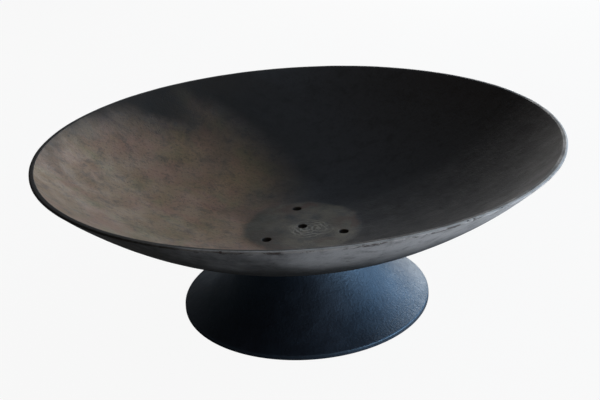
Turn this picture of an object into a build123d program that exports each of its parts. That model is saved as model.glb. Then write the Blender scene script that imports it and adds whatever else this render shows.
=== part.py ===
"""Cast-iron coal fire bowl that stands on a flared, hollow pedestal foot.

Frame: +Z up, origin on the ground at the centre of the foot, millimetres.
The dished bowl sits on the pedestal's seat. Three studs in the seat stand up into three of the four holes
in the bowl's flat floor, so the bowl can't slide or turn and lifts straight off. The centre hole is a drain.
"""

from build123d import *

import os
from math import atan2, cos, hypot, pi, sin, sqrt

# Bowl casting
bowl_diameter = 600.0
bowl_depth = 117.0  # rim down to the floor, on the fire side
bowl_wall = 5.5
floor_thickness = 10.0
floor_margin = 18.0  # flat floor outside the hole circle
floor_blend = 60.0  # radius that softens the crease round the floor
lip_round = 1.5
pad_margin = 2.0  # mounting pad under the floor, wider than the floor
pad_fillet = 2.0
pad_chamfer = 1.0

# Holes in the floor
hole_clearance = 0.5  # room round a stud in its hole
hole_circle = 106.0
hole_count = 3
first_hole_angle = 90.0
hole_break = 0.5  # broken edge on the fire side

# Pedestal casting
pedestal_height = 81.0
foot_diameter = 300.0
foot_edge_height = 5.0
foot_edge_round = 2.0
foot_ring_width = 12.0  # flat ring that the foot rests on
flare_share = 0.48  # slope at the foot's edge, as a share of the straight slope from there to the neck
pedestal_wall = 6.0
plate_thickness = 8.0
seat_thickness = 6.0
seat_overhang = 5.0  # seat outside the neck
seat_chamfer = 1.0
neck_fillet = 2.0
drain_diameter = 16.0

# Locating studs, with a washer and a nut under the seat plate
thread_diameter = 10.0
thread_clearance = 0.05
stud_recess = 5.0  # stud's end below the floor's fire side
stud_tail = 4.0  # stud's end below its nut
stud_chamfer = 1.0
washer_diameter = 21.0
washer_clearance = 0.25
washer_thickness = 2.0
washer_chamfer = 0.4
washer_room = 2.5  # gap between a washer and the inside of the neck
nut_across_flats = 17.0
nut_height = 8.0
nut_corner_drop = 1.4  # height of the chamfer on the nut's corners

# Heights
floor_top = pedestal_height + floor_thickness
rim_height = floor_top + bowl_depth
plate_bottom = pedestal_height - plate_thickness
seat_bottom = pedestal_height - seat_thickness
washer_bottom = plate_bottom - washer_thickness
nut_bottom = washer_bottom - nut_height
stud_bottom = nut_bottom - stud_tail
stud_top = floor_top - stud_recess

# Radii
rim_radius = bowl_diameter / 2
lip_radius = rim_radius - bowl_wall
thread_radius = thread_diameter / 2
tapped_radius = thread_radius + thread_clearance
hole_radius = thread_radius + hole_clearance
washer_bore_radius = thread_radius + washer_clearance
floor_radius = hole_circle / 2 + floor_margin
pad_radius = floor_radius + pad_margin
neck_radius = (hole_circle + washer_diameter) / 2 + washer_room + pedestal_wall
seat_radius = neck_radius + seat_overhang
foot_radius = foot_diameter / 2
nut_face_radius = nut_across_flats / 2
nut_corner_radius = nut_across_flats / sqrt(3)

# The bowl's wall is part of a sphere centred on the axis, cut off flat at the floor.
dish_centre = (lip_radius**2 + rim_height**2 - floor_radius**2 - floor_top**2) / (2 * bowl_depth)
dish_radius = hypot(floor_radius, dish_centre - floor_top)
outer_dish_radius = dish_radius + bowl_wall

# The flare is an arc whose centre lies outside the pedestal.
flare_rise = seat_bottom - foot_edge_height
flare_run = foot_radius - neck_radius
straight_slope = atan2(flare_rise, flare_run)
flare_slope = flare_share * straight_slope
flare_radius = hypot(flare_run, flare_rise) / (2 * sin(straight_slope - flare_slope))
flare_centre_x = foot_radius + flare_radius * sin(flare_slope)
flare_centre_z = foot_edge_height + flare_radius * cos(flare_slope)


def dish_height(radius, at):
    """Height of a sphere of that radius about the dish's centre, at a distance from the axis."""
    return dish_centre - sqrt(radius**2 - at**2)


def flare_inside(height):
    """Distance from the axis to the inside of the flare at a height."""
    return flare_centre_x - sqrt((flare_radius + pedestal_wall) ** 2 - (flare_centre_z - height) ** 2)


def flare_inside_height(at):
    """Height of the inside of the flare at a distance from the axis."""
    return flare_centre_z - sqrt((flare_radius + pedestal_wall) ** 2 - (flare_centre_x - at) ** 2)


# Corners of the two castings' sections, as (distance from the axis, height)
floor_corner = (floor_radius, floor_top)
inner_lip_corner = (lip_radius, rim_height)
outer_lip_corner = (rim_radius, rim_height)
under_lip_corner = (rim_radius, dish_height(outer_dish_radius, rim_radius))
pad_root = (pad_radius, dish_height(outer_dish_radius, pad_radius))
pad_corner = (pad_radius, pedestal_height)

ring_inner_radius = foot_radius - foot_ring_width
seat_corner = (seat_radius, pedestal_height)
neck_corner = (neck_radius, seat_bottom)
foot_edge_corner = (foot_radius, foot_edge_height)
ring_inner_corner = (ring_inner_radius, flare_inside_height(ring_inner_radius))
plate_corner = (flare_inside(plate_bottom), plate_bottom)


def vertex_at(sketch, corner):
    """The sketch's vertex at a corner of its outline."""
    return sketch.vertices().sort_by_distance(corner)[0]


with BuildPart() as fire_bowl:
    with BuildSketch(Plane.XZ) as bowl_section:
        with BuildLine():
            Line((0, floor_top), floor_corner)
            RadiusArc(floor_corner, inner_lip_corner, -dish_radius)
            Polyline(inner_lip_corner, outer_lip_corner, under_lip_corner)
            RadiusArc(under_lip_corner, pad_root, outer_dish_radius)
            Polyline(pad_root, pad_corner, (0, pedestal_height), (0, floor_top))
        make_face()
        fillet(vertex_at(bowl_section, floor_corner), radius=floor_blend)
        fillet(vertex_at(bowl_section, pad_root), radius=pad_fillet)
        chamfer(vertex_at(bowl_section, pad_corner), length=pad_chamfer)
    revolve(axis=Axis.Z)
    fillet(fire_bowl.faces().sort_by(Axis.Z)[-1].edges(), radius=lip_round)
    with Locations((0, 0, floor_top)):
        Hole(radius=hole_radius, depth=floor_thickness)
        with PolarLocations(radius=hole_circle / 2, count=hole_count, start_angle=first_hole_angle):
            Hole(radius=hole_radius, depth=floor_thickness)
    hole_edges = (
        fire_bowl.edges()
        .filter_by_position(Axis.Z, floor_top, floor_top)
        .filter_by(lambda edge: edge.length < 4 * pi * hole_radius)
    )
    chamfer(hole_edges, length=hole_break)

with BuildPart() as pedestal:
    with BuildSketch(Plane.XZ) as pedestal_section:
        with BuildLine():
            Polyline((0, pedestal_height), seat_corner, (seat_radius, seat_bottom), neck_corner)
            RadiusArc(neck_corner, foot_edge_corner, -flare_radius)
            Polyline(foot_edge_corner, (foot_radius, 0), (ring_inner_radius, 0), ring_inner_corner)
            RadiusArc(ring_inner_corner, plate_corner, flare_radius + pedestal_wall)
            Polyline(plate_corner, (0, plate_bottom), (0, pedestal_height))
        make_face()
        fillet(vertex_at(pedestal_section, neck_corner), radius=neck_fillet)
        fillet(vertex_at(pedestal_section, foot_edge_corner), radius=foot_edge_round)
        chamfer(vertex_at(pedestal_section, seat_corner), length=seat_chamfer)
    revolve(axis=Axis.Z)
    with Locations((0, 0, pedestal_height)):
        Hole(radius=drain_diameter / 2, depth=plate_thickness)
        with PolarLocations(radius=hole_circle / 2, count=hole_count, start_angle=first_hole_angle):
            Hole(radius=tapped_radius, depth=plate_thickness)

with BuildPart() as stud:
    with Locations((0, 0, stud_bottom)):
        Cylinder(thread_radius, stud_top - stud_bottom, align=(Align.CENTER, Align.CENTER, Align.MIN))
    chamfer(stud.edges().filter_by(GeomType.CIRCLE), length=stud_chamfer)

with BuildPart() as washer:
    with BuildSketch(Plane.XY.offset(washer_bottom)):
        Circle(washer_diameter / 2)
        Circle(washer_bore_radius, mode=Mode.SUBTRACT)
    extrude(amount=washer_thickness)
    rim_edges = washer.edges().filter_by(GeomType.CIRCLE).filter_by(lambda edge: edge.radius > washer_bore_radius)
    chamfer(rim_edges, length=washer_chamfer)

with BuildPart() as nut:
    with BuildSketch(Plane.XY.offset(nut_bottom)):
        RegularPolygon(radius=nut_face_radius, side_count=6, major_radius=False)
        Circle(tapped_radius, mode=Mode.SUBTRACT)
    extrude(amount=nut_height)
    with BuildSketch(Plane.XZ):
        with BuildLine():
            Polyline(
                (0, nut_bottom),
                (nut_face_radius, nut_bottom),
                (nut_corner_radius, nut_bottom + nut_corner_drop),
                (nut_corner_radius, washer_bottom),
                (0, washer_bottom),
                close=True,
            )
        make_face()
    revolve(axis=Axis.Z, mode=Mode.INTERSECT)

fire_bowl.part.label = "fire_bowl"
pedestal.part.label = "pedestal"
pieces = [fire_bowl.part, pedestal.part]

stud_places = PolarLocations(radius=hole_circle / 2, count=hole_count, start_angle=first_hole_angle)
for number, place in enumerate(stud_places.locations, start=1):
    for name, maker in (("locating_stud", stud), ("stud_washer", washer), ("stud_nut", nut)):
        piece = maker.part.moved(place)
        piece.label = f"{name}_{number}"
        pieces.append(piece)

os.makedirs("parts", exist_ok=True)
for piece in pieces:
    export_step(piece, f"parts/{piece.label}.step")
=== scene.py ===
"""The looks of a cast-iron coal fire bowl and its pedestal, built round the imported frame.

The bowl and the pedestal are turned castings, so each is a section spun about the upright axis, roughened
a little as sand-cast iron is, and pierced for its holes. Studs stand up through the seat into the bowl's
holes, and washers and nuts hold them from below.
Everything is in metres, in the frame's own axes: +Z up, ground at zero.
"""

import logging
import math
from dataclasses import dataclass
from enum import Enum
from typing import Iterable, Sequence

import bmesh
import bpy
from mathutils import Matrix, Vector, noise


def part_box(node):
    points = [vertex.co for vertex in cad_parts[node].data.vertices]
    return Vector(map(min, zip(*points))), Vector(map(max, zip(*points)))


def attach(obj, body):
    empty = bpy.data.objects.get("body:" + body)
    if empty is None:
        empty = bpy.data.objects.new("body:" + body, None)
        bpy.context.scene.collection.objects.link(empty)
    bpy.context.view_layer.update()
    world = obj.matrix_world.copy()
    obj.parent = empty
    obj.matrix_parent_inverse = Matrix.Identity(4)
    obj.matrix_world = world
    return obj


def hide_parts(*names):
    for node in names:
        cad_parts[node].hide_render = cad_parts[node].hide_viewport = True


log = logging.getLogger("fire_bowl")

MM = 0.001
FULL_TURN = 2 * math.pi
TINY = 1e-6  # metres under which two points are one
EDGE = 4 * MM  # longest edge left along a section, if a call gives none
CREASE = 35.0  # degrees past which an edge is left sharp
HOLE_STEPS = 48  # faces round a hole
OVERSHOOT = 2 * MM  # how far a hole's cutter starts below the hole
GRAIN_DEPTH = 0.35 * MM  # relief of the bowl's sand-cast grain
SWELL_DEPTH = 0.9 * MM  # relief of the bowl's broader unevenness
INWARD = 0.6  # taken off the swell, so that a casting stays almost wholly inside its nominal skin
Socket = bpy.types.NodeSocket
Colour = tuple[float, float, float]


class Body(Enum):
    """The frame's bodies that pieces ride on."""

    BOWL = "bowl"
    PEDESTAL = "pedestal"


class Slot(Enum):
    """The record's material slots."""

    BOWL = "bowl_iron"
    PEDESTAL = "pedestal_iron"
    STEEL = "fixing_steel"


# --------------------------------------
# Sections and turned meshes


class Outline:
    """A section through a turned piece, walked point by point as (distance from the axis, height)."""

    def __init__(self, radius: float, height: float) -> None:
        """Start the walk.

        Args:
            radius: Distance from the axis.
            height: Height above the ground.
        """
        self.points: list[tuple[float, float]] = [(radius, height)]

    def line(self, radius: float, height: float, step: float = EDGE) -> "Outline":
        """Walk straight to a point.

        Args:
            radius: Distance of the end from the axis.
            height: Height of the end.
            step: Longest edge to leave along the way.

        Returns:
            The outline, so that calls can be chained.
        """
        r0, z0 = self.points[-1]
        count = max(1, math.ceil(math.hypot(radius - r0, height - z0) / step - TINY))
        for i in range(1, count + 1):
            share = i / count
            self.points.append((r0 + (radius - r0) * share, z0 + (height - z0) * share))
        return self

    def arc(self, centre: tuple[float, float], radius: float, height: float,
            step: float = EDGE) -> "Outline":
        """Walk the shorter way round an arc to a point.

        Args:
            centre: The arc's centre, as (distance from the axis, height).
            radius: Distance of the end from the axis.
            height: Height of the end.
            step: Longest edge to leave along the way.

        Returns:
            The outline, so that calls can be chained.
        """
        r0, z0 = self.points[-1]
        begin = math.atan2(z0 - centre[1], r0 - centre[0])
        sweep = math.atan2(height - centre[1], radius - centre[0]) - begin
        sweep = (sweep + math.pi) % FULL_TURN - math.pi
        size = math.hypot(r0 - centre[0], z0 - centre[1])
        count = max(2, math.ceil(abs(sweep) * size / step))
        for i in range(1, count):
            angle = begin + sweep * i / count
            self.points.append((centre[0] + size * math.cos(angle), centre[1] + size * math.sin(angle)))
        self.points.append((radius, height))
        return self

    def spun(self, steps: int) -> bmesh.types.BMesh:
        """Spin the section into a closed shell about the upright axis.

        Args:
            steps: Number of faces round the piece.

        Returns:
            The shell, with its seam and poles closed and its faces outwards.
        """
        bm = bmesh.new()
        verts = [bm.verts.new((r, 0.0, z)) for r, z in self.points]
        edges = [bm.edges.new(pair) for pair in zip(verts, verts[1:])]
        bmesh.ops.spin(bm, geom=verts + edges, cent=(0, 0, 0), axis=(0, 0, 1), dvec=(0, 0, 0),
                       angle=FULL_TURN, steps=steps, use_merge=True, use_duplicate=False)
        bmesh.ops.remove_doubles(bm, verts=bm.verts, dist=TINY)
        bmesh.ops.recalc_face_normals(bm, faces=bm.faces)
        return bm


def finished(bm: bmesh.types.BMesh, name: str, crease: float = CREASE) -> bpy.types.Object:
    """Turn a bmesh into a smooth-shaded object in the scene.

    Args:
        bm: The mesh, which is freed.
        name: The object's name.
        crease: Angle in degrees past which an edge is left sharp.

    Returns:
        The new object, at the origin.
    """
    mesh = bpy.data.meshes.new(name)
    bm.to_mesh(mesh)
    bm.free()
    piece = bpy.data.objects.new(name, mesh)
    bpy.context.scene.collection.objects.link(piece)
    smoothed(mesh, crease)
    return piece


def smoothed(mesh: bpy.types.Mesh, crease: float) -> None:
    """Shade a mesh smooth, apart from edges that turn by more than crease degrees."""
    mesh.shade_smooth()
    mesh.set_sharp_from_angle(angle=math.radians(crease))


def pierced(piece: bpy.types.Object, cutters: Iterable[bmesh.types.BMesh]) -> None:
    """Cut closed shapes out of a piece.

    Args:
        piece: The object to cut, whose mesh is replaced.
        cutters: Closed shells, which are freed.
    """
    joined = bmesh.new()
    for cutter in cutters:
        scratch = bpy.data.meshes.new("cutter")
        cutter.to_mesh(scratch)
        cutter.free()
        joined.from_mesh(scratch)
        bpy.data.meshes.remove(scratch)
    tool = finished(joined, "hole_cutter")
    cut = piece.modifiers.new("holes", "BOOLEAN")
    cut.operation = "DIFFERENCE"
    cut.solver = "EXACT"
    cut.object = tool
    bpy.context.view_layer.update()
    cleaned = bpy.data.meshes.new_from_object(piece.evaluated_get(bpy.context.evaluated_depsgraph_get()))
    piece.modifiers.clear()
    old, piece.data = piece.data, cleaned
    cleaned.name = piece.name
    bpy.data.meshes.remove(old)
    bpy.data.objects.remove(tool)
    smoothed(cleaned, CREASE)


def hole_cutter(x: float, y: float, radius: float, bottom: float, top: float,
                worn: float = 0.0) -> bmesh.types.BMesh:
    """A cutter for one upright hole whose upper edge is worn round.

    Args:
        x: Place of the hole's axis along X.
        y: Place of the hole's axis along Y.
        radius: The hole's radius.
        bottom: Height at which the cutter starts.
        top: Height of the face that the hole opens into.
        worn: Radius of the wear on the upper edge.

    Returns:
        The cutter, as a closed shell.
    """
    section = Outline(0.0, bottom).line(radius, bottom, radius).line(radius, top - worn, 2.5 * MM)
    if worn:
        section.arc((radius + worn, top - worn), radius + worn, top, worn / 3)
    section.line(radius + worn, top + radius, radius).line(0.0, top + radius, radius)
    bm = section.spun(HOLE_STEPS)
    bmesh.ops.translate(bm, verts=bm.verts, vec=(x, y, 0.0))
    return bm


# --------------------------------------
# Finishes


class Finish:
    """A material under construction, with short calls for the nodes that every finish here shares."""

    def __init__(self, name: str) -> None:
        """Start a material whose shader reads Object coordinates."""
        self.material = bpy.data.materials.new(name)
        self.material.use_nodes = True
        self.tree = self.material.node_tree
        self.shader = self.tree.nodes["Principled BSDF"]
        self.place = self.node("ShaderNodeTexCoord").outputs["Object"]

    def node(self, kind: str, **settings: object) -> bpy.types.Node:
        """Add a node.

        Args:
            kind: The node's type.
            settings: Values for the node's own properties.

        Returns:
            The node.
        """
        made = self.tree.nodes.new(kind)
        for key, value in settings.items():
            setattr(made, key, value)
        return made

    def feed(self, socket: Socket, value: object) -> None:
        """Link a socket to another, or set it if value is plain."""
        if isinstance(value, Socket):
            self.tree.links.new(value, socket)
        elif isinstance(value, (tuple, list)) and len(value) == 3 and len(socket.default_value) == 4:
            socket.default_value = (*value, 1.0)
        else:
            socket.default_value = value

    def moved(self, scale: Sequence[float], shift: Sequence[float] = (0, 0, 0)) -> Socket:
        """Object coordinates that are stretched and moved.

        Args:
            scale: Stretch along each axis.
            shift: Shift along each axis.

        Returns:
            The new coordinates.
        """
        mapping = self.node("ShaderNodeMapping")
        self.feed(mapping.inputs["Vector"], self.place)
        mapping.inputs["Scale"].default_value = scale
        mapping.inputs["Location"].default_value = shift
        return mapping.outputs["Vector"]

    def noise(self, scale: float, detail: float = 4.0, rough: float = 0.5, bend: float = 0.0,
              place: Socket | None = None) -> Socket:
        """Cloudy noise from 0 to 1.

        Args:
            scale: Number of blotches to a metre.
            detail: Number of finer layers.
            rough: Strength of the finer layers.
            bend: How far the pattern is distorted.
            place: Coordinates, or Object coordinates.

        Returns:
            The noise's value.
        """
        made = self.node("ShaderNodeTexNoise")
        self.feed(made.inputs["Vector"], place or self.place)
        for key, value in (("Scale", scale), ("Detail", detail), ("Roughness", rough), ("Distortion", bend)):
            made.inputs[key].default_value = value
        return made.outputs["Fac"]

    def cells(self, scale: float, place: Socket | None = None) -> Socket:
        """Distance to the nearest of scattered points, for pits and specks."""
        made = self.node("ShaderNodeTexVoronoi")
        self.feed(made.inputs["Vector"], place or self.place)
        made.inputs["Scale"].default_value = scale
        return made.outputs["Distance"]

    def ramp(self, value: Socket, low: float, high: float, out_low: float = 0.0,
             out_high: float = 1.0) -> Socket:
        """Map a value smoothly from one range to another, clamped at both ends.

        Args:
            value: The value to map.
            low: Value that maps to out_low.
            high: Value that maps to out_high.
            out_low: Result at low.
            out_high: Result at high.

        Returns:
            The mapped value.
        """
        made = self.node("ShaderNodeMapRange", interpolation_type="SMOOTHSTEP")
        flipped = low > high
        self.feed(made.inputs["Value"], value)
        made.inputs["From Min"].default_value = high if flipped else low
        made.inputs["From Max"].default_value = low if flipped else high
        made.inputs["To Min"].default_value = out_high if flipped else out_low
        made.inputs["To Max"].default_value = out_low if flipped else out_high
        return made.outputs["Result"]

    def sums(self, operation: str, first: object, second: object = 0.0) -> Socket:
        """Arithmetic on one or two values."""
        made = self.node("ShaderNodeMath", operation=operation)
        self.feed(made.inputs[0], first)
        self.feed(made.inputs[1], second)
        return made.outputs["Value"]

    def part_of(self, axis: str) -> Socket:
        """One coordinate, X, Y or Z."""
        made = self.node("ShaderNodeSeparateXYZ")
        self.feed(made.inputs["Vector"], self.place)
        return made.outputs[axis]

    def toward(self, heading: float, share: float = 1.0) -> Socket:
        """A share of the distance along a level heading, given in degrees from +X."""
        turn = math.radians(heading)
        return self.sums("ADD", self.sums("MULTIPLY", self.part_of("X"), math.cos(turn) * share),
                         self.sums("MULTIPLY", self.part_of("Y"), math.sin(turn) * share))

    def distance(self, centre: Sequence[float]) -> Socket:
        """Distance from the upright line through a point, measured level."""
        flat = self.moved(scale=(1, 1, 0), shift=(-centre[0], -centre[1], 0))
        made = self.node("ShaderNodeVectorMath", operation="LENGTH")
        self.feed(made.inputs[0], flat)
        return made.outputs["Value"]

    def mixed(self, share: object, first: object, second: object) -> Socket:
        """Blend two colours.

        Args:
            share: Share of the second colour.
            first: First colour or socket.
            second: Second colour or socket.

        Returns:
            The blended colour.
        """
        made = self.node("ShaderNodeMix", data_type="RGBA")
        self.feed(made.inputs[0], share)
        self.feed(made.inputs[6], first)
        self.feed(made.inputs[7], second)
        return made.outputs[2]

    def bump(self, height: Socket, depth: float, strength: float,
             under: Socket | None = None) -> Socket:
        """Relief from a height.

        Args:
            height: Height from 0 to 1.
            depth: Height of 1, in metres.
            strength: Strength of the effect.
            under: Relief that this one lies on.

        Returns:
            The normal.
        """
        made = self.node("ShaderNodeBump")
        made.inputs["Distance"].default_value = depth
        made.inputs["Strength"].default_value = strength
        self.feed(made.inputs["Height"], height)
        if under is not None:
            self.feed(made.inputs["Normal"], under)
        return made.outputs["Normal"]

    def wear(self, colour: object, roughness: object, normal: Socket, metallic: float = 0.0,
             specular: float = 0.5) -> bpy.types.Material:
        """Set the shader's inputs and hand the material over.

        Args:
            colour: Base colour.
            roughness: Roughness.
            normal: Relief.
            metallic: Metallic share.
            specular: Strength of the gloss.

        Returns:
            The material.
        """
        self.feed(self.shader.inputs["Base Color"], colour)
        self.feed(self.shader.inputs["Roughness"], roughness)
        self.feed(self.shader.inputs["Normal"], normal)
        self.shader.inputs["Metallic"].default_value = metallic
        self.shader.inputs["Specular IOR Level"].default_value = specular
        return self.material


@dataclass(frozen=True)
class FireSide:
    """The inside of the bowl: charcoal iron, with brown scale on one side that is also painted lighter there
    as the lit side, a band of painted shade high on the back wall, painted shade towards the front and a
    greyer floor.

    Attributes:
        floor_height: Height of the floor.
        lip_height: Top of the lip.
        lit_scale_heading: Degrees from +X to the middle of the brown side, which is partly brown scale and
            partly painted light.
        shade_heading: Degrees from +X to the way that the plane of the painted shade band faces.
        shade_tilt: Degrees that the plane of the painted shade band leans.
        shade_level: Distance of the painted shade band's plane from the origin.
        floor_radius: Where the floor's colour ends.
        swirl_centre: Middle of the ground patch, as (X, Y).
        swirl_radius: Radius of the ground patch.
        swirls: Centre and spacing of each set of arcs, as (X, Y, spacing).
        pit_depth: Depth of a pit.
        grind_depth: Height of the grinder's arcs.
    """

    floor_height: float
    lip_height: float
    charcoal: Colour = (0.0265, 0.0250, 0.0258)
    shade_band_dark: Colour = (0.0175, 0.0135, 0.0105)
    lit_scale_brown: Colour = (0.158, 0.092, 0.046)
    lit_scale_rose: Colour = (0.176, 0.086, 0.051)
    lit_scale_olive: Colour = (0.127, 0.091, 0.038)
    floor_grey: Colour = (0.084, 0.070, 0.050)
    floor_dark: Colour = (0.030, 0.029, 0.022)
    floor_rose: Colour = (0.062, 0.036, 0.027)
    bare_grey: Colour = (0.190, 0.170, 0.140)
    # Near-black, for pits, flecks, blotches and the lip's top, and for the painted shade inside the holes.
    pit_and_shade: Colour = (0.014, 0.012, 0.011)
    lit_scale_heading: float = 188.0
    shade_heading: float = -24.2
    shade_tilt: float = 25.3
    shade_level: float = 0.058
    floor_radius: float = 0.0705
    swirl_centre: tuple[float, float] = (0.008, -0.010)
    swirl_radius: float = 0.026
    swirls: tuple[tuple[float, float, float], ...] = ((0.003, -0.008, 0.0060), (0.018, -0.012, 0.0074))
    pit_depth: float = 0.5 * MM
    grind_depth: float = 0.25 * MM

    def ground_marks(self, m: Finish) -> Socket:
        """Share of bare iron in the grinder's crossing arcs round the middle hole.

        Args:
            m: The finish under construction.

        Returns:
            The share.
        """
        waver = m.ramp(m.noise(38.0, 4.0, 0.6), 0.25, 0.75, -0.0035, 0.0035)
        inside = m.sums("ADD", m.distance(self.swirl_centre), waver)
        patch = m.ramp(inside, self.swirl_radius + 0.004, self.swirl_radius - 0.006)
        marks = None
        for x, y, spacing in self.swirls:
            away = m.sums("ADD", m.distance((x, y)), waver)
            wave = m.sums("SINE", m.sums("MULTIPLY", away, FULL_TURN / spacing))
            arcs = m.ramp(wave, 0.0, 0.9)
            arcs = m.sums("MULTIPLY", arcs, m.ramp(m.noise(4000.0 * spacing + 30.0, 3.0, 0.6), 0.40, 0.58))
            marks = arcs if marks is None else m.sums("MAXIMUM", marks, arcs)
        haze = m.ramp(m.noise(70.0, 4.0, 0.6), 0.3, 0.7, 0.02, 0.18)
        return m.sums("MULTIPLY", patch, m.sums("MAXIMUM", marks, haze))

    def shade_band(self, m: Finish, cloud: Socket) -> Socket:
        """Share of painted shade over one side of the wall, above a tilted plane: a dark band high on the
        back-left wall.

        Args:
            m: The finish under construction.
            cloud: Noise that makes the band's edge uneven.

        Returns:
            The share.
        """
        tilt = math.radians(self.shade_tilt)
        across = m.toward(self.shade_heading, math.sin(tilt))
        above = m.sums("ADD", across, m.sums("MULTIPLY", m.part_of("Z"), math.cos(tilt)))
        above = m.sums("ADD", above, m.ramp(cloud, 0.3, 0.7, -0.006, 0.006))
        share = m.ramp(above, self.shade_level - 0.010, self.shade_level + 0.011)
        share = m.sums("MULTIPLY", share, m.ramp(m.part_of("X"), -0.02, -0.16))
        share = m.sums("MAXIMUM", share, m.ramp(above, self.shade_level - 0.008, self.shade_level + 0.034))
        return m.sums("MULTIPLY", share, m.ramp(m.part_of("Y"), -0.02, 0.07))

    def material(self) -> bpy.types.Material:
        """Build the material.

        Returns:
            The material for the bowl's inside and lip.
        """
        m = Finish("seasoned_iron")
        cloud = m.noise(6.0, 5.0, 0.6, 0.6)
        # Partly real and partly painted light: brown scale on one side, made lighter than the charcoal to
        # stand for the light that falls on that side.
        reach = m.sums("ADD", m.toward(self.lit_scale_heading), m.ramp(cloud, 0.3, 0.7, -0.05, 0.05))
        lit_scale = m.ramp(reach, -0.07, 0.10)

        lit_scale_mottle = m.mixed(m.ramp(m.noise(11.0, 4.0, 0.6, 0.8), 0.40, 0.62), self.lit_scale_rose, self.lit_scale_olive)
        lit_scale_mottle = m.mixed(m.ramp(m.noise(17.0, 5.0, 0.65, 0.3), 0.35, 0.65), lit_scale_mottle, self.lit_scale_brown)
        # Painted shade: the scale is darkened towards the front (-Y), by up to a fifth.
        lit_scale_mottle = m.mixed(m.ramp(m.part_of("Y"), 0.08, -0.10, 0.0, 0.20), lit_scale_mottle, self.charcoal)
        # Painted shade: the band darkens the scale high on the back-left wall; the same share also makes it
        # rougher.
        soot_and_shade = self.shade_band(m, cloud)
        lit_scale_mottle = m.mixed(soot_and_shade, lit_scale_mottle, self.shade_band_dark)
        colour = m.mixed(lit_scale, self.charcoal, lit_scale_mottle)
        blotch = m.ramp(m.noise(48.0, 6.0, 0.68, 0.4), 0.46, 0.72, 0.0, 0.55)
        colour = m.mixed(blotch, colour, self.pit_and_shade)
        fleck = m.ramp(m.noise(260.0, 4.0, 0.7), 0.48, 0.70, 0.0, 0.45)
        colour = m.mixed(fleck, colour, self.pit_and_shade)

        out = m.distance((0, 0))
        edge = m.sums("ADD", out, m.ramp(m.noise(60.0, 3.0), 0.3, 0.7, -0.003, 0.003))
        floor = m.ramp(edge, self.floor_radius + 0.004, self.floor_radius - 0.006)
        floor_colour = m.mixed(m.ramp(m.noise(38.0, 5.0, 0.6), 0.38, 0.72), self.floor_grey, self.charcoal)
        rosy = m.ramp(m.noise(31.0, 4.0, 0.6, 0.5), 0.46, 0.60)
        rosy = m.sums("MULTIPLY", rosy, m.ramp(out, 0.025, 0.060))
        floor_colour = m.mixed(rosy, floor_colour, self.floor_rose)
        shade = m.ramp(m.part_of("X"), -0.010, -0.058, 0.0, 0.75)
        floor_colour = m.mixed(shade, floor_colour, self.floor_dark)
        colour = m.mixed(m.sums("MULTIPLY", floor, 0.92), colour, floor_colour)

        ground = self.ground_marks(m)
        colour = m.mixed(m.sums("MULTIPLY", ground, 0.60), colour, self.bare_grey)
        height = m.part_of("Z")
        lip = m.ramp(height, self.lip_height - 1.2 * MM, self.lip_height - 0.3 * MM)
        colour = m.mixed(lip, colour, self.pit_and_shade)
        # Painted shade: the hole walls below the floor are painted near-black.
        holes = m.ramp(height, self.floor_height - 0.2 * MM, self.floor_height - 1 * MM)
        colour = m.mixed(holes, colour, self.pit_and_shade)

        pits = m.ramp(m.cells(230.0), 0.17, 0.08)
        scattered = m.sums("MULTIPLY", pits, m.ramp(m.noise(24.0, 2.0), 0.5, 0.62))
        colour = m.mixed(m.sums("MULTIPLY", scattered, 0.7), colour, self.pit_and_shade)

        grain = m.noise(420.0, 3.0, 0.6)
        relief = m.bump(grain, GRAIN_DEPTH, 0.6)
        relief = m.bump(m.noise(95.0, 4.0, 0.55), SWELL_DEPTH, 0.5, relief)
        relief = m.bump(scattered, -self.pit_depth, 0.6, relief)
        relief = m.bump(ground, self.grind_depth, 0.7, relief)
        roughness = m.ramp(m.noise(30.0, 5.0, 0.6), 0.3, 0.7, 0.58, 0.76)
        roughness = m.sums("MAXIMUM", roughness, m.sums("MULTIPLY", soot_and_shade, 0.92))
        return m.wear(colour, roughness, relief, specular=0.28)


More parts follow.
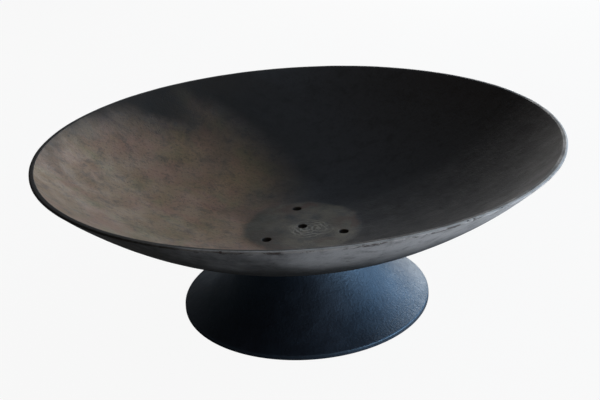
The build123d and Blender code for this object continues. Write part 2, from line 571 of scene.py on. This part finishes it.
@dataclass(frozen=True)
class OuterSkin:
    """The outside of the bowl: sooty iron, greyer near the lip on one side, partly rubbed iron and partly
    painted light where the light falls, with specks of rust and chips.

    Attributes:
        lip_height: Top of the lip.
        rubbed_lit_heading: Degrees from +X to the middle of the rubbed side, which is also painted lighter
            as the lit side.
        chip_depth: Depth of a speck or chip.
    """

    lip_height: float
    # Sooty black, the colour of the side that the painted light doesn't reach.
    soot_and_shade: Colour = (0.0075, 0.0058, 0.0042)
    rubbed_and_lit: Colour = (0.290, 0.274, 0.266)
    bare_lit_lip: Colour = (0.24, 0.235, 0.23)
    rust: Colour = (0.026, 0.015, 0.012)
    rubbed_lit_heading: float = -45.0
    chip_depth: float = 0.4 * MM

    def material(self) -> bpy.types.Material:
        """Build the material.

        Returns:
            The material for the bowl's outside.
        """
        m = Finish("sooty_iron")
        cloud = m.ramp(m.noise(12.0, 5.0, 0.65), 0.3, 0.7, -0.05, 0.05)
        # Partly wear and partly painted light: greyer towards the front-right side and towards the lip,
        # darker towards the band's lower edge.
        worn = m.ramp(m.sums("ADD", m.toward(self.rubbed_lit_heading), cloud), 0.02, 0.24)
        high = m.ramp(m.sums("ADD", m.part_of("Z"), m.sums("MULTIPLY", cloud, 0.12)),
                      self.lip_height - 0.060, self.lip_height - 0.008)
        colour = m.mixed(m.sums("MULTIPLY", worn, high), self.soot_and_shade, self.rubbed_and_lit)
        # The lip's outer edge is bare grey on the same side, partly wear and partly a painted highlight.
        lip = m.ramp(m.part_of("Z"), self.lip_height - 2.0 * MM, self.lip_height - 0.6 * MM)
        colour = m.mixed(m.sums("MULTIPLY", worn, lip), colour, self.bare_lit_lip)
        blotch = m.ramp(m.noise(60.0, 6.0, 0.7, 0.3), 0.46, 0.72, 0.0, 0.5)
        colour = m.mixed(blotch, colour, self.soot_and_shade)
        specks = m.ramp(m.cells(120.0, m.moved((1, 1, 2.5))), 0.22, 0.12)
        specks = m.sums("MULTIPLY", specks, m.ramp(m.noise(16.0, 2.0), 0.5, 0.62))
        chips = m.ramp(m.noise(52.0, 5.0, 0.7, 0.6, m.moved((1, 1, 2))), 0.50, 0.58)
        height = m.part_of("Z")
        over = m.ramp(height, self.lip_height - 5.5 * MM, self.lip_height - 3.5 * MM)
        under = m.ramp(height, self.lip_height - 0.7 * MM, self.lip_height - 1.6 * MM)
        chips = m.sums("MULTIPLY", m.sums("MULTIPLY", chips, over), under)
        specks = m.sums("MAXIMUM", specks, chips)
        colour = m.mixed(m.sums("MULTIPLY", specks, 0.85), colour, self.rust)
        relief = m.bump(m.noise(380.0, 3.0, 0.6), GRAIN_DEPTH, 0.6)
        relief = m.bump(m.noise(85.0, 4.0, 0.55), SWELL_DEPTH, 0.5, relief)
        relief = m.bump(specks, -self.chip_depth, 0.6, relief)
        roughness = m.ramp(m.noise(26.0, 5.0, 0.6), 0.3, 0.7, 0.52, 0.66)
        return m.wear(colour, roughness, relief, specular=0.21)


@dataclass(frozen=True)
class StovePaint:
    """The pedestal: satin black stove paint over a fine sand-cast skin, its gloss tinted blue as painted
    light.
    """

    black: Colour = (0.0085, 0.0080, 0.0105)
    dusty: Colour = (0.019, 0.018, 0.023)
    blue_light_gloss_tint: Colour = (0.40, 0.69, 1.0)

    def material(self) -> bpy.types.Material:
        """Build the material.

        Returns:
            The material for the pedestal.
        """
        m = Finish("stove_paint")
        dust = m.ramp(m.noise(14.0, 5.0, 0.65), 0.45, 0.75)
        colour = m.mixed(m.sums("MULTIPLY", dust, 0.5), self.black, self.dusty)
        relief = m.bump(m.noise(340.0, 3.0, 0.6), 0.40 * MM, 0.9)
        relief = m.bump(m.noise(120.0, 3.0, 0.5), 0.50 * MM, 0.5, relief)
        roughness = m.ramp(m.noise(55.0, 4.0, 0.6), 0.3, 0.7, 0.44, 0.54)
        # Painted light: the gloss is tinted blue to stand for the blue of the light that the paint reflects.
        m.feed(m.shader.inputs["Specular Tint"], self.blue_light_gloss_tint)
        return m.wear(colour, roughness, relief, specular=0.80)


@dataclass(frozen=True)
class PlainSteel:
    """Studs, washers and nuts: plain steel, dulled and rusting in places."""

    steel: Colour = (0.24, 0.235, 0.23)
    rust: Colour = (0.085, 0.036, 0.018)

    def material(self) -> bpy.types.Material:
        """Build the material.

        Returns:
            The material for the fixings.
        """
        m = Finish("plain_steel")
        rusty = m.ramp(m.noise(160.0, 5.0, 0.7), 0.46, 0.62)
        colour = m.mixed(rusty, self.steel, self.rust)
        relief = m.bump(m.noise(900.0, 3.0, 0.6), 0.08 * MM, 0.6)
        relief = m.bump(rusty, 0.10 * MM, 0.6, relief)
        roughness = m.ramp(rusty, 0.0, 1.0, 0.34, 0.85)
        return m.wear(colour, roughness, relief, metallic=0.85)


# --------------------------------------
# The castings


@dataclass
class FireBowl:
    """The dished bowl: a wall that is part of a sphere, a flat floor with four holes and a pad beneath it.

    Attributes:
        rim_radius: Outside of the lip.
        rim_height: Top of the lip.
        pad_height: Underside of the pad, which rests on the pedestal.
        studs: Places of the stud holes' axes.
        wall: Thickness of the dish.
        floor_thickness: Thickness of the floor.
        floor_radius: Where the floor would meet the dish with no blend.
        floor_blend: Radius of the blend round the floor.
        lip_round: Rounding of the lip's two edges.
        pad_radius: Radius of the pad.
        pad_fillet: Radius of the corner above the pad.
        pad_chamfer: Chamfer on the pad's lower edge.
        hole_radius: Radius of the four holes.
        hole_wear: Wear on the holes' upper edges.
        ground_reach: Radius of the finely meshed middle of the floor.
        unevenness: Depth of the casting's swell on the dish.
        floor_unevenness: The same on the floor.
        ripple: Height of the grinder's ripples.
        steps: Number of faces round the bowl.
    """

    rim_radius: float
    rim_height: float
    pad_height: float
    studs: list[Vector]
    wall: float = 5.5 * MM
    floor_thickness: float = 10 * MM
    floor_radius: float = 71 * MM
    floor_blend: float = 60 * MM
    lip_round: float = 1.5 * MM
    pad_radius: float = 73 * MM
    pad_fillet: float = 2 * MM
    pad_chamfer: float = 1 * MM
    hole_radius: float = 5.5 * MM
    hole_wear: float = 1.1 * MM
    ground_reach: float = 36 * MM
    unevenness: float = 0.5 * MM
    floor_unevenness: float = 0.25 * MM
    ripple: float = 0.10 * MM
    steps: int = 320

    def __post_init__(self) -> None:
        """Work out the dish from the lip and the floor."""
        self.floor_height = self.pad_height + self.floor_thickness
        self.lip_radius = self.rim_radius - self.wall
        depth = self.rim_height - self.floor_height
        self.centre = (self.lip_radius**2 + self.rim_height**2 - self.floor_radius**2
                       - self.floor_height**2) / (2 * depth)
        self.inner = math.hypot(self.floor_radius, self.centre - self.floor_height)
        self.outer = self.inner + self.wall

    def fire_side(self) -> FireSide:
        """The finish of the bowl's inside."""
        return FireSide(floor_height=self.floor_height, lip_height=self.rim_height)

    def dish(self, size: float, radius: float) -> float:
        """Height of a sphere of a size about the dish's centre, at a distance from the axis."""
        return self.centre - math.sqrt(size**2 - radius**2)

    def outline(self) -> Outline:
        """The bowl's section, from the middle of the floor over the lip to the middle of the pad.

        Returns:
            The section.
        """
        blend_gap = self.inner - self.floor_blend
        blend_start = math.sqrt(blend_gap**2 - (self.centre - self.floor_height - self.floor_blend) ** 2)
        blend_end = blend_start * self.inner / blend_gap
        ring, top, fine = self.lip_round, self.rim_height, 0.4 * MM
        middle = (0.0, self.centre)
        section = Outline(0.0, self.floor_height).line(self.ground_reach, self.floor_height, 0.9 * MM)
        section.line(blend_start, self.floor_height, 2 * MM)
        section.arc((blend_start, self.floor_height + self.floor_blend), blend_end,
                    self.dish(self.inner, blend_end), 1.5 * MM)
        lip = math.sqrt((self.inner + ring) ** 2 - (self.centre - top + ring) ** 2)
        lip_in = lip * self.inner / (self.inner + ring)
        section.arc(middle, lip_in, self.dish(self.inner, lip_in), 4 * MM)
        section.arc((lip, top - ring), lip, top, fine)
        section.line(self.rim_radius - ring, top, 1 * MM)
        section.arc((self.rim_radius - ring, top - ring), self.rim_radius, top - ring, fine)
        section.line(self.rim_radius, self.dish(self.outer, self.rim_radius), 0.8 * MM)
        root = self.pad_radius + self.pad_fillet
        corner = self.dish(self.outer + self.pad_fillet, root)
        pad_out = root * self.outer / (self.outer + self.pad_fillet)
        section.arc(middle, pad_out, self.dish(self.outer, pad_out), 4 * MM)
        section.arc((root, corner), self.pad_radius, corner, fine)
        section.line(self.pad_radius, self.pad_height + self.pad_chamfer, 1 * MM)
        section.line(self.pad_radius - self.pad_chamfer, self.pad_height, 1 * MM)
        return section.line(0.0, self.pad_height, 12 * MM)

    def swirl(self, point: Vector) -> float:
        """Height of the grinder's ripples on the floor at a point."""
        skin = self.fire_side()
        across, along = skin.swirl_centre
        inside = skin.swirl_radius - math.hypot(point.x - across, point.y - along)
        if inside <= 0:
            return 0.0
        x, y, spacing = skin.swirls[0]
        wave = math.sin(FULL_TURN * math.hypot(point.x - x, point.y - y) / spacing)
        return self.ripple * min(1.0, inside / (4 * MM)) * wave

    def roughen(self, bm: bmesh.types.BMesh) -> None:
        """Give the casting the slight unevenness of sand-cast iron, and its floor the ripples."""
        bm.normal_update()
        pad = self.pad_radius + 2 * self.pad_fillet
        for vert in bm.verts:
            point, normal = vert.co.copy(), vert.normal.copy()
            reach = math.hypot(point.x, point.y)
            size = (point - Vector((0, 0, self.centre))).length
            under = size > self.inner + self.wall / 2 and point.z < self.rim_height - 2 * self.lip_round
            if under and reach < pad:
                continue
            swell = noise.noise(point * 9.0) * 0.5 + noise.noise(point * 27.0) * 0.3
            swell += noise.noise(point * 90.0) * 0.15
            dent = self.unevenness * (swell - INWARD)
            if reach < self.floor_radius:
                dent = self.floor_unevenness * (swell - INWARD) * reach / self.floor_radius
                dent += self.swirl(point)
            vert.co = point + normal * dent

    def build(self) -> bpy.types.Object:
        """Make the bowl.

        Returns:
            The bowl's object.
        """
        bm = self.outline().spun(self.steps)
        self.roughen(bm)
        piece = finished(bm, "bowl_casting")
        places = [Vector((0, 0, 0)), *self.studs]
        pierced(piece, [hole_cutter(p.x, p.y, self.hole_radius, self.pad_height - OVERSHOOT,
                                    self.floor_height, self.hole_wear) for p in places])
        return piece

    def dress(self, piece: bpy.types.Object) -> None:
        """Put the finishes on the bowl, the second one from the lip outwards, and join it to the frame."""
        piece.data.materials.clear()
        piece.data.materials.append(self.fire_side().material())
        piece.data.materials.append(OuterSkin(lip_height=self.rim_height).material())
        middle, half = Vector((0, 0, self.centre)), self.inner + self.wall / 2
        for face in piece.data.polygons:
            reach = face.center.xy.length
            below = (face.center - middle).length > half and face.center.z < self.rim_height - self.lip_round
            outer_edge = reach > self.rim_radius - 1.5 * self.lip_round
            face.material_index = int(outer_edge or (below and reach > self.pad_radius / 2))
        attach(piece, Body.BOWL.value)
        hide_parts("fire_bowl")


@dataclass
class Pedestal:
    """The pedestal: a hollow flare with a seat for the bowl and a plate that holds the studs.

    Attributes:
        foot_radius: Outside of the foot.
        height: Top of the seat.
        studs: Places of the studs' axes.
        stud_radius: Radius of a stud.
        washer_radius: Radius of a washer.
        foot_edge: Height of the foot's upright edge.
        foot_round: Rounding above the foot's edge.
        ring_width: Width of the flat ring that the foot rests on.
        flare_share: Slope at the foot's edge, as a share of the straight slope to the neck.
        wall: Thickness of the flare.
        plate: Thickness of the plate.
        seat: Thickness of the seat.
        overhang: How far the seat stands out of the neck.
        seat_chamfer: Chamfer on the seat's upper edge.
        neck_fillet: Radius of the corner under the seat.
        washer_room: Gap between a washer and the inside of the neck.
        drain_radius: Radius of the drain hole.
        stud_gap: Gap round a stud in the plate.
        unevenness: Depth of the casting's swell on the flare.
        steps: Number of faces round the pedestal.
    """

    foot_radius: float
    height: float
    studs: list[Vector]
    stud_radius: float
    washer_radius: float
    foot_edge: float = 5 * MM
    foot_round: float = 2 * MM
    ring_width: float = 12 * MM
    flare_share: float = 0.48
    wall: float = 6 * MM
    plate: float = 8 * MM
    seat: float = 6 * MM
    overhang: float = 5 * MM
    seat_chamfer: float = 1 * MM
    neck_fillet: float = 2 * MM
    washer_room: float = 2.5 * MM
    drain_radius: float = 8 * MM
    stud_gap: float = 0.05 * MM
    unevenness: float = 0.3 * MM
    steps: int = 320

    def __post_init__(self) -> None:
        """Work out the flare from the foot and the neck."""
        self.neck = self.studs[0].xy.length + self.washer_radius + self.washer_room + self.wall
        self.seat_bottom = self.height - self.seat
        self.plate_bottom = self.height - self.plate
        rise, run = self.seat_bottom - self.foot_edge, self.foot_radius - self.neck
        straight = math.atan2(rise, run)
        slope = self.flare_share * straight
        self.flare = math.hypot(run, rise) / (2 * math.sin(straight - slope))
        self.centre = (self.foot_radius + self.flare * math.sin(slope),
                       self.foot_edge + self.flare * math.cos(slope))

    def on_flare(self, size: float, toward: tuple[float, float]) -> tuple[float, float]:
        """The point at a distance from the flare's centre, towards another point."""
        away = math.hypot(toward[0] - self.centre[0], toward[1] - self.centre[1])
        return tuple(c + (t - c) * size / away for c, t in zip(self.centre, toward))

    def outline(self) -> Outline:
        """The pedestal's section, from the middle of the seat round the foot to the middle of the plate.

        Returns:
            The section.
        """
        cx, cz = self.centre
        seat, fine = self.neck + self.overhang, 0.5 * MM
        fillet_z = self.seat_bottom - self.neck_fillet
        fillet_x = cx - math.sqrt((self.flare - self.neck_fillet) ** 2 - (cz - fillet_z) ** 2)
        edge_x = self.foot_radius - self.foot_round
        edge_z = cz - math.sqrt((self.flare + self.foot_round) ** 2 - (cx - edge_x) ** 2)
        inside = self.flare + self.wall
        ring = self.foot_radius - self.ring_width
        section = Outline(0.0, self.height).line(seat - self.seat_chamfer, self.height, 8 * MM)
        section.line(seat, self.height - self.seat_chamfer, fine).line(seat, self.seat_bottom, 2 * MM)
        section.line(fillet_x, self.seat_bottom, 1 * MM)
        section.arc((fillet_x, fillet_z), *self.on_flare(self.flare, (fillet_x, fillet_z)), fine)
        section.arc(self.centre, *self.on_flare(self.flare, (edge_x, edge_z)), 1.5 * MM)
        section.arc((edge_x, edge_z), self.foot_radius, edge_z, fine)
        section.line(self.foot_radius, 0.0, 1.2 * MM).line(ring, 0.0, 4 * MM)
        section.line(ring, cz - math.sqrt(inside**2 - (cx - ring) ** 2), 2 * MM)
        section.arc(self.centre, cx - math.sqrt(inside**2 - (cz - self.plate_bottom) ** 2),
                    self.plate_bottom, 3 * MM)
        return section.line(0.0, self.plate_bottom, 8 * MM)

    def roughen(self, bm: bmesh.types.BMesh) -> None:
        """Give the flare a casting's slight unevenness, fading out towards its seats."""
        bm.normal_update()
        for vert in bm.verts:
            point = vert.co.copy()
            clear = min((point.z - 1.5 * MM) / (4 * MM), (self.plate_bottom - 3 * MM - point.z) / (6 * MM))
            if clear <= 0:
                continue
            swell = noise.noise(point * 14.0) * 0.6 + noise.noise(point * 60.0) * 0.25 - INWARD
            vert.co = point + vert.normal * (self.unevenness * swell * min(1.0, clear))

    def build(self) -> bpy.types.Object:
        """Make the pedestal.

        Returns:
            The pedestal's object.
        """
        bm = self.outline().spun(self.steps)
        self.roughen(bm)
        piece = finished(bm, "pedestal_casting")
        low, bore = self.plate_bottom - OVERSHOOT, self.stud_radius + self.stud_gap
        cutters = [hole_cutter(0, 0, self.drain_radius, low, self.height)]
        cutters += [hole_cutter(p.x, p.y, bore, low, self.height) for p in self.studs]
        pierced(piece, cutters)
        return piece

    def dress(self, piece: bpy.types.Object) -> None:
        """Put the finish on the pedestal and join it to the frame."""
        piece.data.materials.clear()
        piece.data.materials.append(StovePaint().material())
        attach(piece, Body.PEDESTAL.value)
        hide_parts("pedestal")


# --------------------------------------
# The fixings


@dataclass
class Fixings:
    """The studs that stand in the seat's plate, and the washers and nuts beneath it.

    Attributes:
        count: Number of studs.
        pitch: Pitch of the thread.
        thread_depth: Depth of the thread.
        chamfer: Chamfer on a stud's ends.
        steps: Number of faces round a stud.
        rows: Number of rows to one turn of the thread.
        crease: Angle in degrees past which a stud's edges are left sharp.
    """

    count: int = 3
    pitch: float = 1.5 * MM
    thread_depth: float = 0.75 * MM
    chamfer: float = 1 * MM
    steps: int = 32
    rows: int = 8
    crease: float = 30.0

    def boxes(self, kind: str) -> list[tuple[Vector, Vector]]:
        """Boxes of each of the frame's nodes of one kind."""
        return [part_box(f"{kind}_{number}") for number in range(1, self.count + 1)]

    def places(self) -> list[Vector]:
        """Places of the studs' axes."""
        return [(low + high) / 2 for low, high in self.boxes("locating_stud")]

    def radius(self, kind: str) -> float:
        """Radius of a round kind of fixing."""
        low, high = self.boxes(kind)[0]
        return (high.x - low.x) / 2

    def build_stud(self, number: int) -> bpy.types.Object:
        """Make one threaded stud.

        Args:
            number: The stud's number in the frame.

        Returns:
            The stud's object.
        """
        low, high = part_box(f"locating_stud_{number}")
        radius, middle = self.radius("locating_stud"), (low + high) / 2
        row = self.pitch / self.rows
        section = Outline(0.0, high.z).line(radius - self.chamfer, high.z, radius)
        section.line(radius, high.z - self.chamfer, row).line(radius, low.z + self.chamfer, row)
        section.line(radius - self.chamfer, low.z, row).line(0.0, low.z, radius)
        bm = section.spun(self.steps)
        for vert in bm.verts:
            reach = vert.co.xy.length
            if reach < radius - 1.2 * self.chamfer:
                continue
            turn = (vert.co.z / self.pitch - math.atan2(vert.co.y, vert.co.x) / FULL_TURN) % 1.0
            floor = radius - self.thread_depth * min(1.0, 1.25 * (1 - abs(2 * turn - 1)))
            if reach > floor:
                vert.co.xy = vert.co.xy * (floor / reach)
        bmesh.ops.translate(bm, verts=bm.verts, vec=(middle.x, middle.y, 0.0))
        return finished(bm, f"threaded_stud_{number}", self.crease)

    def dress(self, studs: Sequence[bpy.types.Object]) -> None:
        """Put the finish on the fixings and join the studs to the frame."""
        steel = PlainSteel().material()
        for number, stud in enumerate(studs, start=1):
            stud.data.materials.append(steel)
            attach(stud, Body.PEDESTAL.value)
            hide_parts(f"locating_stud_{number}")
            for kind in ("stud_washer", "stud_nut"):
                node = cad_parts[f"{kind}_{number}"]
                node.data.materials.clear()
                node.data.materials.append(steel)


# --------------------------------------
# The studio


@dataclass
class Studio:
    """A pale floor, soft lights and the camera.

    Attributes:
        turn: Degrees by which the camera and lights are turned about the upright axis.
        distance: Level distance from the axis to the camera.
        height: Height of the camera.
        pitch: Degrees that the camera looks down.
        heading: Degrees that the camera looks to the right of the axis.
        roll: Degrees that the camera is rolled.
        focal_length: Focal length, in millimetres.
        sensor_width: Width of the camera's sensor, in millimetres.
        aim_height: Height that the lights are aimed at.
        pale: Brightness of the floor and the room where the camera sees them.
        evenness: Share of the floor's seen brightness that the lights don't change.
        floor_radius: Radius of the floor.
        floor_albedo: Share of light that the floor sends back.
        room_light: Strength of the light from all round.
    """

    turn: float = -5.95
    distance: float = 0.968
    height: float = 0.542
    pitch: float = 23.30
    heading: float = -0.05
    roll: float = -3.73
    focal_length: float = 53.26
    sensor_width: float = 36.0
    aim_height: float = 0.12
    pale: float = 0.965
    evenness: float = 0.96
    floor_radius: float = 14.0
    floor_albedo: float = 0.50
    room_light: float = 0.08

    def turned(self) -> Matrix:
        """The turn of the whole studio about the upright axis."""
        return Matrix.Rotation(math.radians(self.turn), 4, "Z")

    def camera(self) -> None:
        """Set up the camera."""
        pitch, heading, roll = (math.radians(a) for a in (self.pitch, self.heading, self.roll))
        ahead = Vector((math.sin(heading) * math.cos(pitch), math.cos(heading) * math.cos(pitch),
                        -math.sin(pitch)))
        right = Vector((math.cos(heading), -math.sin(heading), 0.0))
        up = right.cross(ahead)
        across = right * math.cos(roll) + up * math.sin(roll)
        upward = up * math.cos(roll) - right * math.sin(roll)
        axes = Matrix((across, upward, -ahead)).transposed().to_4x4()
        place = Matrix.Translation((0.0, -self.distance, self.height))
        lens = bpy.data.cameras.new("camera")
        lens.lens, lens.sensor_width = self.focal_length, self.sensor_width
        view = bpy.data.objects.new("camera", lens)
        view.matrix_world = self.turned() @ place @ axes
        bpy.context.scene.collection.objects.link(view)
        bpy.context.scene.camera = view

    def panel(self, name: str, azimuth: float, elevation: float, away: float, size: tuple[float, float],
              power: float, colour: Colour) -> None:
        """Hang a soft rectangular light that faces the bowl.

        Args:
            name: The light's name.
            azimuth: Degrees clockwise from the direction that the camera faces.
            elevation: Degrees above the ground.
            away: Distance from the bowl.
            size: Width and height.
            power: Power in watts.
            colour: Colour.
        """
        a, e = math.radians(azimuth), math.radians(elevation)
        spot = Vector((math.sin(a) * math.cos(e), math.cos(a) * math.cos(e), math.sin(e))) * away
        light = bpy.data.lights.new(name, "AREA")
        light.shape, light.size, light.size_y = "RECTANGLE", *size
        light.energy, light.color = power, colour
        lamp = bpy.data.objects.new(name, light)
        lamp.visible_camera = False
        aim = (Vector((0, 0, self.aim_height)) - spot).to_track_quat("-Z", "Y").to_matrix().to_4x4()
        lamp.matrix_world = self.turned() @ Matrix.Translation(spot) @ aim
        bpy.context.scene.collection.objects.link(lamp)

    def floor(self) -> None:
        """Lay the pale floor."""
        bm = bmesh.new()
        bmesh.ops.create_circle(bm, cap_ends=True, segments=96, radius=self.floor_radius)
        piece = finished(bm, "studio_floor")
        m = Finish("studio_floor")
        m.feed(m.shader.inputs["Base Color"], (self.floor_albedo,) * 3)
        m.shader.inputs["Roughness"].default_value = 0.9
        m.shader.inputs["Specular IOR Level"].default_value = 0.0
        glow = m.node("ShaderNodeEmission")
        m.feed(glow.inputs["Color"], (self.pale,) * 3)
        seen = m.sums("MULTIPLY", m.node("ShaderNodeLightPath").outputs["Is Camera Ray"], self.evenness)
        mix = m.node("ShaderNodeMixShader")
        m.feed(mix.inputs[0], seen)
        m.feed(mix.inputs[1], m.shader.outputs[0])
        m.feed(mix.inputs[2], glow.outputs[0])
        m.feed(m.tree.nodes["Material Output"].inputs["Surface"], mix.outputs[0])
        piece.data.materials.append(m.material)

    def sky(self) -> None:
        """Fill the room with a soft light, pale where the camera sees it."""
        world = bpy.data.worlds.new("room")
        bpy.context.scene.world = world
        world.use_nodes = True
        tree = world.node_tree
        lit = tree.nodes["Background"]
        lit.inputs["Color"].default_value = (1, 1, 1, 1)
        lit.inputs["Strength"].default_value = self.room_light
        seen = tree.nodes.new("ShaderNodeBackground")
        seen.inputs["Color"].default_value = (self.pale, self.pale, self.pale, 1)
        ray = tree.nodes.new("ShaderNodeLightPath")
        mix = tree.nodes.new("ShaderNodeMixShader")
        tree.links.new(ray.outputs["Is Camera Ray"], mix.inputs[0])
        tree.links.new(lit.outputs[0], mix.inputs[1])
        tree.links.new(seen.outputs[0], mix.inputs[2])
        tree.links.new(mix.outputs[0], tree.nodes["World Output"].inputs["Surface"])

    def build(self) -> None:
        """Set up the camera, the floor and the lights."""
        scene = bpy.context.scene
        scene.view_settings.view_transform = "Standard"
        scene.view_settings.look = "None"
        self.camera()
        self.floor()
        self.sky()
        self.panel("window", azimuth=20.0, elevation=21.0, away=2.6, size=(1.4, 1.0), power=38.0,
                   colour=(1.0, 0.97, 0.94))
        self.panel("sky", azimuth=70.0, elevation=30.0, away=2.4, size=(3.0, 2.0), power=66.0,
                   colour=(0.47, 0.73, 1.0))
        self.panel("low_fill", azimuth=112.0, elevation=6.0, away=1.5, size=(1.5, 0.30), power=25.0,
                   colour=(0.82, 0.90, 1.0))
        self.panel("room", azimuth=150.0, elevation=50.0, away=3.0, size=(2.0, 2.0), power=14.0,
                   colour=(1.0, 0.88, 0.76))


def main() -> None:
    """Build the studio and every piece of the fire bowl, in order."""
    fixings = Fixings()
    bowl_low, bowl_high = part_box("fire_bowl")
    _, foot_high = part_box("pedestal")
    places = fixings.places()

    Studio().build()
    log.info("studio set up")

    bowl = FireBowl(rim_radius=bowl_high.x, rim_height=bowl_high.z, pad_height=bowl_low.z, studs=places)
    dish = bowl.build()
    bowl.dress(dish)

    pedestal = Pedestal(foot_radius=foot_high.x, height=foot_high.z, studs=places,
                        stud_radius=fixings.radius("locating_stud"),
                        washer_radius=fixings.radius("stud_washer"))
    foot = pedestal.build()
    pedestal.dress(foot)

    studs = [fixings.build_stud(number) for number in range(1, fixings.count + 1)]
    fixings.dress(studs)
    for piece in (dish, foot, *studs):
        log.info("%s: %d faces", piece.name, len(piece.data.polygons))


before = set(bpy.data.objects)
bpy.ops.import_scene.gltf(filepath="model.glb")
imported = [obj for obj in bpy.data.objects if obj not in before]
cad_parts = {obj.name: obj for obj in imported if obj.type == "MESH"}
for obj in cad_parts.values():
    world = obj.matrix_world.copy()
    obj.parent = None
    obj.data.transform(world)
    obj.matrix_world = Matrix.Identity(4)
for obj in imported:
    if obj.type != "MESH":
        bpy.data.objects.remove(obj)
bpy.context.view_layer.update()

if __name__ == "__main__":
    logging.basicConfig(level=logging.INFO, format="%(name)s: %(message)s")
    main()
